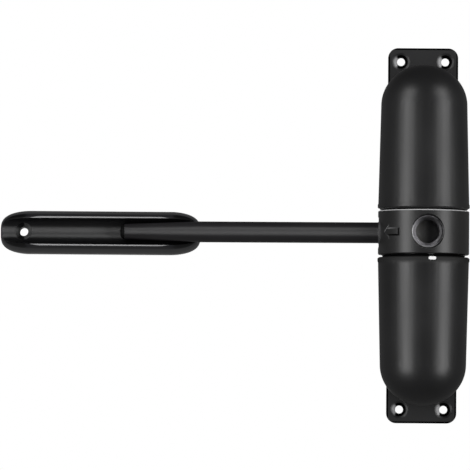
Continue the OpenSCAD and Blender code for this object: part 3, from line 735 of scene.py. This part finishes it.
# The shoe's groove: a little wider at its inner end, and rolled off at both
GROOVE_DEPTH = 4.7 * MM
GROOVE_OUT_R = 6 * MM
GROOVE_IN_R = 6.3 * MM
ROLL_OFF = 0.8 * MM
ROLL_OFF_L = 6 * MM
ROLL_STEPS = 8
groove_floor = GROOVE_DEPTH - SHOE_H
groove_start = Vector((shoe_low.x - CUT_PAST, groove_floor - GROOVE_OUT_R, SPINDLE.z))
groove_end = Vector((shoe_high.x + CUT_PAST, groove_floor - GROOVE_IN_R, SPINDLE.z))
groove_run = groove_end - groove_start
groove = bmesh.new()
parts = [i / ROLL_STEPS for i in range(ROLL_STEPS + 1)]
out_end = [(GROOVE_OUT_R + ROLL_OFF * (1 - part) ** 2, ROLL_OFF_L * part) for part in parts]
in_start = groove_run.length - ROLL_OFF_L
in_end = [(GROOVE_IN_R + ROLL_OFF * part ** 2, in_start + ROLL_OFF_L * part) for part in parts]
groove_outline = [(0, 0)] + out_end + in_end + [(0, groove_run.length)]
revolve(groove, groove_outline, groove_start, groove_run.normalized(), BORE_SIDES)

# The shoe's screw holes, with wide bores for the heads
SHOE_SINK_R = 3.8 * MM
SINK_BELOW = 2 * MM
sink_h = -groove_floor - SINK_BELOW
sink_low = sink_h - (SHOE_SINK_R - SHOE_HOLE_R)
screws = bmesh.new()
for sx in (-1, 1):
    revolve(screws, [
        (0, -CUT_PAST), (SHOE_HOLE_R, -CUT_PAST), (SHOE_HOLE_R, sink_low), (SHOE_SINK_R, sink_h),
        (SHOE_SINK_R, SHOE_H + CUT_PAST), (0, SHOE_H + CUT_PAST),
    ], Vector((SHOE_X + sx * SHOE_SCREW_X, 0, SPINDLE.z)), -Y, HOLE_SIDES)

# Pockets in the shoe's back
POCKETS = 4
POCKET_L = 11 * MM
POCKET_W = 12 * MM
POCKET_DEPTH = 11 * MM
POCKET_PITCH = 13 * MM
pockets = bmesh.new()
for i in range(POCKETS):
    x = SHOE_X + (i - (POCKETS - 1) / 2) * POCKET_PITCH
    centre = Vector((x, (CUT_PAST - POCKET_DEPTH) / 2, SPINDLE.z))
    size = Matrix.Diagonal((POCKET_L, POCKET_DEPTH + CUT_PAST, POCKET_W, 1))
    bmesh.ops.create_cube(pockets, size=1, matrix=Matrix.Translation(centre) @ size)
body = bmesh.new()
loft(body, [shoe_ring(*level) for level in shoe_levels])
carved = carve(body, [groove, screws, pockets])

# The groove, the screw holes and the top's two ends are polished
POLISH_REACH = 0.05 * MM
HOLE_POLISH_H = 0.5 * MM
END_POLISH_L = 1 * MM
END_POLISH_H = 0.4 * MM
groove_along = groove_run.normalized()
for face in carved.faces:
    middle = face.calc_center_median()
    spot = middle - groove_start
    along = spot.dot(groove_along)
    wide = GROOVE_OUT_R + (GROOVE_IN_R - GROOVE_OUT_R) * along / groove_run.length
    for end_gap in (along, groove_run.length - along):
        wide += ROLL_OFF * max(1 - end_gap / ROLL_OFF_L, 0) ** 2
    in_groove = (spot - groove_along * along).length < wide + POLISH_REACH
    from_hole = math.hypot(abs(middle.x - SHOE_X) - SHOE_SCREW_X, middle.z - SPINDLE.z)
    in_hole = from_hole < SHOE_SINK_R + POLISH_REACH and middle.y > groove_floor + HOLE_POLISH_H
    past_top = abs(middle.x - SHOE_X) > half_l - TOP_IN_L - END_POLISH_L
    at_end = past_top and middle.y < -SHOULDER_H - END_POLISH_H
    face.material_index = int(in_groove or in_hole or at_end)
shoe = piece("guide_shoe_look", carved, "guide_shoe", sharp=26)
shoe.data.materials.append(SHOE_POLISH)
round_edges(shoe, SHOE_EDGE, segments=3, angle=30)

# Reach of the ridges' painted highlight, from the shoe's top and from its middle
RIDGE_DEPTH = (0.08 * MM, 0.2 * MM)
RIDGE_REACH = (half_l - 13 * MM, half_l - 11 * MM)
RIDGE_HIGHLIGHT = 0.4


def paint_ridge_highlights(mat):
    """Paints a highlight along the ridges beside the groove, up to the shoe's sloping ends."""
    tree = mat.node_tree
    place_x, place_y, _ = from_point(tree, (SHOE_X, -SHOE_H, 0))
    on_ridge = smooth_range(tree, place_y, *RIDGE_DEPTH, RIDGE_HIGHLIGHT, 0)
    reach = smooth_range(tree, absolute(tree, place_x), *RIDGE_REACH, 1, 0)
    recolour(mat, times(tree, on_ridge, reach), PAINTED_HIGHLIGHT)


paint_ridge_highlights(MATERIALS["gloss_black_shoe"])

# Sockets: a rounded rim, a cone into the bore, and a thread
SOCKET_IN = 9.2 * MM
ARM_SOCKET_FACE = 20.2 * MM
MOUTH = 0.9 * MM
MOUTH_DEPTH = 1.1 * MM
RIM_LAND = 0.6 * MM
RIM_STEP = 0.35 * MM
RIM_ROUND = 0.35 * MM
SMALL_ROUND = 0.1 * MM
THREAD_PITCH = 1.25 * MM
THREAD_ROOT_R = BORE_R + 0.03 * MM
THREAD_CREST_R = 5.15 * MM
THREAD_ROOT_HALF = 0.44 * THREAD_PITCH
THREAD_CREST_HALF = 0.06 * THREAD_PITCH
THREAD_STEPS = 36


def thread(bm, origin, axis, length):
    """A helical ridge on a bore's wall, pointed towards its axis."""
    side = axis.orthogonal().normalized()
    other = axis.cross(side)
    turns = (length - THREAD_PITCH) / THREAD_PITCH
    rings = []
    for i in range(int(turns * THREAD_STEPS) + 1):
        angle = 2 * math.pi * i / THREAD_STEPS
        out = side * math.cos(angle) + other * math.sin(angle)
        middle = origin + axis * (THREAD_PITCH * (0.5 + i / THREAD_STEPS))
        rings.append([
            middle + out * radius + axis * step
            for radius, step in (
                (THREAD_ROOT_R, -THREAD_ROOT_HALF), (THREAD_CREST_R, -THREAD_CREST_HALF),
                (THREAD_CREST_R, THREAD_CREST_HALF), (THREAD_ROOT_R, THREAD_ROOT_HALF),
            )
        ])
    loft(bm, rings)


def socket(node, axis, face_out, threaded):
    """A sleeve whose mouth opens towards axis. A threaded one has a stepped rim too."""
    origin = SPINDLE + axis * face_out
    length = face_out - SOCKET_IN
    bm = bmesh.new()
    land_r = SOCKET_R - RIM_LAND
    step = RIM_STEP if threaded else 0
    outline = [(SOCKET_R, -length), (SOCKET_R, 0, RIM_ROUND)]
    if threaded:
        outline += [(land_r, 0, SMALL_ROUND), (land_r - SMALL_ROUND, -step)]
    outline += [(BORE_R + MOUTH, -step), (BORE_R, -MOUTH_DEPTH, SMALL_ROUND), (BORE_R, -length)]
    revolve(bm, fillet(outline), origin, axis, BORE_SIDES)
    if threaded:
        thread(bm, origin - axis * length, axis, length - MOUTH - THREAD_PITCH)
    piece(node + "_look", bm, node, sharp=35)


LEAN = math.radians(2)
ARM = Vector((-math.cos(LEAN), math.sin(LEAN), 0))
socket("arm_socket", ARM, ARM_SOCKET_FACE, threaded=False)
socket("front_socket", FRONT, SOCKET_FACE, threaded=True)

# Collar: a ring with rounded edges, seats for the sockets and the key, a groove for the stop pin
SEAT_GAP = 0.02 * MM
EDGE_R = 0.6 * MM
SEAT_EDGE = 0.15 * MM
COLLAR_EDGE_STEPS = 8
FLARE = 0.8 * MM
FLARE_L = 1.9 * MM
KEY_HALF_W = 1.52 * MM
KEY_DEEP = 9.52 * MM
KEY_LOW = -10.9 * MM
KEY_HIGH = 7.9 * MM
KEY_ANGLE = math.radians(45) - LEAN
STOP_IN_R = 14.7 * MM
STOP_OUT_R = 18.7 * MM
STOP_GROOVE_H = 1.9 * MM
STOP_FIRST = math.radians(183.2)
STOP_LAST = math.radians(286)
STOP_STEPS = 48
collar_base = SPINDLE - Z * COLLAR_H / 2
blank = bmesh.new()
revolve(blank, fillet([
    (HUB_R + SEAT_GAP, 0), (COLLAR_R, 0, EDGE_R), (COLLAR_R, COLLAR_H, EDGE_R),
    (HUB_R + SEAT_GAP, COLLAR_H),
], COLLAR_EDGE_STEPS), collar_base, Z, COLLAR_SIDES)
seats = []
for axis, flare in ((ARM, 0), (FRONT, FLARE)):
    seat = bmesh.new()
    seat_r = SOCKET_R + SEAT_GAP
    revolve(seat, [
        (0, HUB_R), (seat_r, HUB_R), (seat_r, SOCKET_FACE), (seat_r + flare, SOCKET_FACE + FLARE_L),
        (seat_r + flare, COLLAR_R + CUT_PAST), (0, COLLAR_R + CUT_PAST),
    ], SPINDLE, axis, BORE_SIDES)
    seats.append(seat)
stop_groove = bmesh.new()
sections = []
for i in range(STOP_STEPS + 1):
    angle = STOP_FIRST + (STOP_LAST - STOP_FIRST) * i / STOP_STEPS
    out = Vector((math.cos(angle), math.sin(angle), 0))
    sections.append([
        collar_base + out * radius + Z * height
        for radius, height in (
            (STOP_IN_R, -CUT_PAST), (STOP_OUT_R, -CUT_PAST),
            (STOP_OUT_R, STOP_GROOVE_H), (STOP_IN_R, STOP_GROOVE_H),
        )
    ])
loft(stop_groove, sections)
key_seat = bmesh.new()
key_size = Matrix.Diagonal((2 * KEY_HALF_W, KEY_DEEP, KEY_HIGH - KEY_LOW, 1))
key_middle = Matrix.Translation((0, KEY_DEEP / 2, (KEY_HIGH + KEY_LOW) / 2))
key_place = Matrix.Translation(SPINDLE) @ Matrix.Rotation(KEY_ANGLE, 4, "Z")
bmesh.ops.create_cube(key_seat, size=1, matrix=key_place @ key_middle @ key_size)
collar = piece("collar_look", carve(blank, seats + [stop_groove, key_seat]), "collar", sharp=34)
round_edges(collar, SEAT_EDGE, segments=2, angle=40)

# Arrow: raised on the collar, with sloping sides
ARROW_ANGLE = math.radians(-137.4)
ARROW_HALF_L = 5.05 * MM
ARROW_HEAD_L = 3.9 * MM
ARROW_HEAD_HALF_W = 3.4 * MM
ARROW_SHAFT_HALF_W = 1.95 * MM
ARROW_SLOPE = 0.85 * MM
ARROW_SLICE = 0.6 * MM
ARROW_EDGE = 0.1 * MM
head_base = ARROW_HEAD_L - ARROW_HALF_L
foot = [Vector(corner) for corner in (
    (-ARROW_HALF_L, 0), (head_base, -ARROW_HEAD_HALF_W), (head_base, -ARROW_SHAFT_HALF_W),
    (ARROW_HALF_L, -ARROW_SHAFT_HALF_W), (ARROW_HALF_L, ARROW_SHAFT_HALF_W),
    (head_base, ARROW_SHAFT_HALF_W), (head_base, ARROW_HEAD_HALF_W),
)]


def shrink(outline, amount):
    """Moves every side of a flat outline inwards by an amount."""
    corners = []
    for i, here in enumerate(outline):
        before = (here - outline[i - 1]).normalized()
        after = (outline[(i + 1) % len(outline)] - here).normalized()
        first = Vector((-before.y, before.x))
        second = Vector((-after.y, after.x))
        corners.append(here + (first + second) * (amount / (1 + first.dot(second))))
    return corners


arrow = bmesh.new()
tiers = []
for outline, rise in ((foot, -ARROW_RAISE), (foot, 0), (shrink(foot, ARROW_SLOPE), ARROW_RAISE)):
    tiers.append([arrow.verts.new((*corner, rise)) for corner in outline])
for lower, upper in zip(tiers, tiers[1:]):
    for i in range(len(foot)):
        arrow.faces.new((lower[i - 1], lower[i], upper[i], upper[i - 1]))
arrow.faces.new(tiers[-1])
for step in range(1, int(2 * ARROW_HALF_L / ARROW_SLICE)):
    cut_at = (step * ARROW_SLICE - ARROW_HALF_L, 0, 0)
    geometry = arrow.verts[:] + arrow.edges[:] + arrow.faces[:]
    bmesh.ops.bisect_plane(arrow, geom=geometry, plane_co=cut_at, plane_no=(1, 0, 0))
for vert in arrow.verts:
    along, up, rise = vert.co
    angle = ARROW_ANGLE + along / COLLAR_R
    out = Vector((math.cos(angle), math.sin(angle), 0))
    vert.co = SPINDLE + out * (COLLAR_R + rise) + Z * up
collar_arrow = piece("collar_arrow", arrow, "collar", sharp=20, replace=False)
round_edges(collar_arrow, ARROW_EDGE, segments=2, angle=25)

# Back plate: a rounded flat plate, curved countersinks, and the hidden holes behind the housings
PLATE_T = plate_high.y - plate_low.y
PLATE_CORNER_R = 4.5 * MM
PLATE_EDGE = 0.4 * MM
CORNER_STEPS = 12
SINK_NECK_H = 1 * MM
SINK_BEND_R = 2.6 * MM
SINK_BEND_H = 2.1 * MM
SINK_ROUND = 0.3 * MM
SINK_PAST_R = 4.8 * MM
SINK_PAST_H = PLATE_T + 0.5 * MM
RIVET_X = 6 * MM
RIVET_HOLE_R = 2.02 * MM
CASE_X = 10.8 * MM
CASE_HOLE_R = 1.52 * MM
CASE_SINK_R = 3.02 * MM
through = PLATE_T + CUT_PAST
corner = Vector((plate_high.x - PLATE_CORNER_R, plate_high.z - PLATE_CORNER_R))
rim = []
for turn, (sx, sz) in enumerate(((1, 1), (-1, 1), (-1, -1), (1, -1))):
    for step in range(CORNER_STEPS + 1):
        angle = math.pi / 2 * (turn + step / CORNER_STEPS)
        x = sx * corner.x + PLATE_CORNER_R * math.cos(angle)
        z = sz * corner.y + PLATE_CORNER_R * math.sin(angle)
        rim.append((x, z))
slab = bmesh.new()
loft(slab, [[Vector((x, y, z)) for x, z in rim] for y in (0, -PLATE_T)])
holes = bmesh.new()
wall_hole = fillet([
    (0, -CUT_PAST), (SCREW_HOLE_R, -CUT_PAST), (SCREW_HOLE_R, SINK_NECK_H, SINK_ROUND),
    (SINK_BEND_R, SINK_BEND_H, SINK_ROUND), (SINK_R, PLATE_T), (SINK_PAST_R, SINK_PAST_H),
    (0, SINK_PAST_H),
])
rivet_hole = [(0, -CUT_PAST), (RIVET_HOLE_R, -CUT_PAST), (RIVET_HOLE_R, through), (0, through)]
case_hole = [
    (0, -CUT_PAST), (CASE_SINK_R, -CUT_PAST), (CASE_SINK_R, 0),
    (CASE_HOLE_R, CASE_SINK_R - CASE_HOLE_R), (CASE_HOLE_R, through), (0, through),
]
for side, name in ((1, "upper"), (-1, "lower")):
    for kind, outline, x in (("rivets", rivet_hole, RIVET_X), ("housing_screws", case_hole, CASE_X)):
        low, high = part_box(name + "_" + kind)
        for sx in (-1, 1):
            revolve(holes, outline, Vector((sx * x, 0, (low.z + high.z) / 2)), -Y, SMALL_HOLE_SIDES)
    for sx in (-1, 1):
        revolve(holes, wall_hole, Vector((sx * SCREW_X, 0, side * SCREW_Z)), -Y, HOLE_SIDES)
plate = piece("back_plate_look", carve(slab, [holes]), "back_plate", sharp=30)
round_edges(plate, PLATE_EDGE, segments=3, angle=50)

# Springs: round wire on a smooth helix with an axial leg at each end
SPRING_R = 13 * MM
WIRE_R = 1.25 * MM
SPRING_TURNS = 8.75
SPRING_START = math.radians(20)
SPRING_LEG = 2.3 * MM
SPRING_BEND = 3 * MM
BEND_STEPS = 6
TURN_STEPS = 40
WIRE_SIDES = 14


def spring(node, side):
    """A spring on the collar's upper side, or for a side of -1 its mirror image below."""
    low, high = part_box(node)
    bottom = low.z if side > 0 else high.z
    height = high.z - low.z
    start = SPRING_LEG + SPRING_BEND
    end = height - start
    bend_angle = SPRING_BEND / SPRING_R
    whole = 2 * math.pi * SPRING_TURNS
    path = [(0, 0)]
    for i in range(BEND_STEPS):
        angle = math.pi / 2 * i / BEND_STEPS
        path.append((bend_angle * (1 - math.cos(angle)), start - SPRING_BEND * (1 - math.sin(angle))))
    steps = int(SPRING_TURNS * TURN_STEPS)
    for i in range(steps + 1):
        path.append((bend_angle + whole * i / steps, start + (end - start) * i / steps))
    total = whole + 2 * bend_angle
    path += [(total - angle, height - up) for angle, up in reversed(path[:BEND_STEPS + 1])]
    points = []
    for turn, up in path:
        angle = turn + SPRING_START
        points.append(Vector((
            SPINDLE.x + SPRING_R * math.cos(angle), SPINDLE.y + SPRING_R * math.sin(angle),
            bottom + side * up,
        )))
    rings = []
    for i, point in enumerate(points):
        along = (points[min(i + 1, len(points) - 1)] - points[max(i - 1, 0)]).normalized()
        out = Vector((point.x - SPINDLE.x, point.y - SPINDLE.y, 0)).normalized()
        across = along.cross(out).normalized()
        out = across.cross(along)
        angles = [2 * math.pi * k / WIRE_SIDES for k in range(WIRE_SIDES)]
        rings.append([point + (out * math.cos(a) + across * math.sin(a)) * WIRE_R for a in angles])
    bm = bmesh.new()
    loft(bm, rings)
    piece(node + "_look", bm, node, sharp=40)


spring("upper_spring", 1)
spring("lower_spring", -1)

# The pieces that keep their solid's shape, with rounded edges
SHELL_EDGE = 0.25 * MM
ROD_EDGE = 0.2 * MM
INNER_EDGE = 0.15 * MM


def dress_pairs(*kinds):
    """Dresses the upper and the lower node of each kind."""
    for kind in kinds:
        dress("upper_" + kind, INNER_EDGE)
        dress("lower_" + kind, INNER_EDGE)


dress("upper_housing", SHELL_EDGE)
dress("lower_housing", SHELL_EDGE)
dress("arm_rod", ROD_EDGE)
dress("nose_plug", ROD_EDGE)
dress("stop_pin", INNER_EDGE)
dress("stop_plug", INNER_EDGE)
dress_pairs("lug", "rivets", "housing_screws")
dress("spindle", INNER_EDGE)
dress_pairs("circlip", "anchor", "dowels", "spacer", "thrust_washer")
dress("drive_hub", INNER_EDGE)
dress("drive_key", INNER_EDGE)
dress_pairs("bush", "drive_disc")

# Camera: far in front and a little below, at the photo's angle and scale
FRAME_PX = 470
PLATE_PX = 375
SENSOR_W = 36
DISTANCE = 3.0
FOCAL_PX = DISTANCE * PLATE_PX / PLATE_H
AIM = Vector((-0.0848, 0, -0.0002))
ELEVATION = math.radians(-2.5)
ROLL = math.radians(0.4)
cam_data = bpy.data.cameras.new("camera")
cam_data.sensor_width = SENSOR_W
cam_data.lens = SENSOR_W * FOCAL_PX / FRAME_PX
camera = bpy.data.objects.new("camera", cam_data)
scene.collection.objects.link(camera)
outward = Vector((0, -math.cos(ELEVATION), math.sin(ELEVATION)))
towards_aim = (-outward).to_track_quat("-Z", "Y").to_matrix().to_4x4()
place = Matrix.Translation(AIM + outward * DISTANCE)
camera.matrix_world = place @ towards_aim @ Matrix.Rotation(ROLL, 4, "Z")
scene.camera = camera

# Studio: on each side of the view a soft box level with the object, and one above it
LIGHT_W = 0.42
LEVEL_H = 0.86
LEVEL_ELEVATION = -4.5
LEVEL_STRENGTH = 1.0
UPPER_H = 0.44
UPPER_ELEVATION = 34
UPPER_STRENGTH = 0.75
LIGHT_FAR = 0.92
WATTS_PER_M2 = 2.95
LIGHT_SPREAD = math.radians(70)


def soft_box(name, azimuth, elevation, height, strength):
    """A lamp at an azimuth and an elevation in degrees, which faces the plate's middle."""
    data = bpy.data.lights.new(name, "AREA")
    data.shape = "RECTANGLE"
    data.size = LIGHT_W
    data.size_y = height
    data.energy = WATTS_PER_M2 * strength * LIGHT_W * height
    data.spread = LIGHT_SPREAD
    light = bpy.data.objects.new(name, data)
    scene.collection.objects.link(light)
    turn = math.radians(azimuth)
    lift = math.radians(elevation)
    level = math.cos(lift)
    away = Vector((math.sin(turn) * level, -math.cos(turn) * level, math.sin(lift)))
    light.location = away * LIGHT_FAR
    light.rotation_euler = away.to_track_quat("Z", "Y").to_euler()


for side, azimuth in (("left", -46), ("right", 51.8)):
    soft_box(side + "_box", azimuth, LEVEL_ELEVATION, LEVEL_H, LEVEL_STRENGTH)
    soft_box(side + "_upper_box", azimuth, UPPER_ELEVATION, UPPER_H, UPPER_STRENGTH)


# World: white to the camera and, in reflections, behind the object, and a dim room elsewhere
ROOM_LEVEL = 0.13
ROOM_STEEP = 0.03
ROOM_STEEPNESS = (0.15, 0.75)
BACKDROP_Y = (0.985, 0.998)
SURROUND = 0.25
WHITE = 1.0


def glow(tree, strength):
    """A white background. The strength is a socket or a number."""
    node = tree.nodes.new("ShaderNodeBackground")
    node.inputs["Color"].default_value = (1, 1, 1, 1)
    if isinstance(strength, (int, float)):
        node.inputs["Strength"].default_value = strength
    else:
        tree.links.new(strength, node.inputs["Strength"])
    return node.outputs[0]


def blend_by(tree, factor, first, second):
    """Goes from the first background to the second by a factor."""
    node = tree.nodes.new("ShaderNodeMixShader")
    for source, socket in zip((factor, first, second), node.inputs):
        tree.links.new(source, socket)
    return node.outputs[0]


world = bpy.data.worlds.new("studio")
world.use_nodes = True
scene.world = world
sky = world.node_tree
sky.nodes.clear()
rays = sky.nodes.new("ShaderNodeLightPath")
coords = sky.nodes.new("ShaderNodeTexCoord")
direction = sky.nodes.new("ShaderNodeSeparateXYZ")
sky.links.new(coords.outputs["Generated"], direction.inputs[0])
steepness = absolute(sky, direction.outputs["Z"])
room = glow(sky, smooth_range(sky, steepness, *ROOM_STEEPNESS, ROOM_LEVEL, ROOM_STEEP))
mirrored = greater(sky, rays.outputs["Is Glossy Ray"], rays.outputs["Is Transmission Ray"])
behind = smooth_range(sky, direction.outputs["Y"], *BACKDROP_Y, 0, 1)
white_seen = greater(sky, rays.outputs["Is Camera Ray"], times(sky, mirrored, behind))
surround = blend_by(sky, mirrored, glow(sky, SURROUND), room)
seen = blend_by(sky, white_seen, surround, glow(sky, WHITE))
world_out = sky.nodes.new("ShaderNodeOutputWorld")
sky.links.new(seen, world_out.inputs["Surface"])

# Grey floor, well below the wall-mounted object
FLOOR_HALF = 4.0
FLOOR_DROP = 1.0
FLOOR_GREY = 0.45
FLOOR_ROUGH = 0.8
floor_z = cad_box[0].z - FLOOR_DROP
floor_mesh = bpy.data.meshes.new("floor")
signs = ((-1, -1), (1, -1), (1, 1), (-1, 1))
corners = [(sx * FLOOR_HALF, sy * FLOOR_HALF, floor_z) for sx, sy in signs]
floor_mesh.from_pydata(corners, [], [(0, 1, 2, 3)])
floor = bpy.data.objects.new("floor", floor_mesh)
scene.collection.objects.link(floor)
floor_mat = bpy.data.materials.new("floor")
floor_mat.use_nodes = True
floor_shader = floor_mat.node_tree.nodes["Principled BSDF"]
floor_shader.inputs["Base Color"].default_value = (FLOOR_GREY, FLOOR_GREY, FLOOR_GREY, 1)
floor_shader.inputs["Roughness"].default_value = FLOOR_ROUGH
floor_mesh.materials.append(floor_mat)

scene.view_settings.view_transform = "Standard"
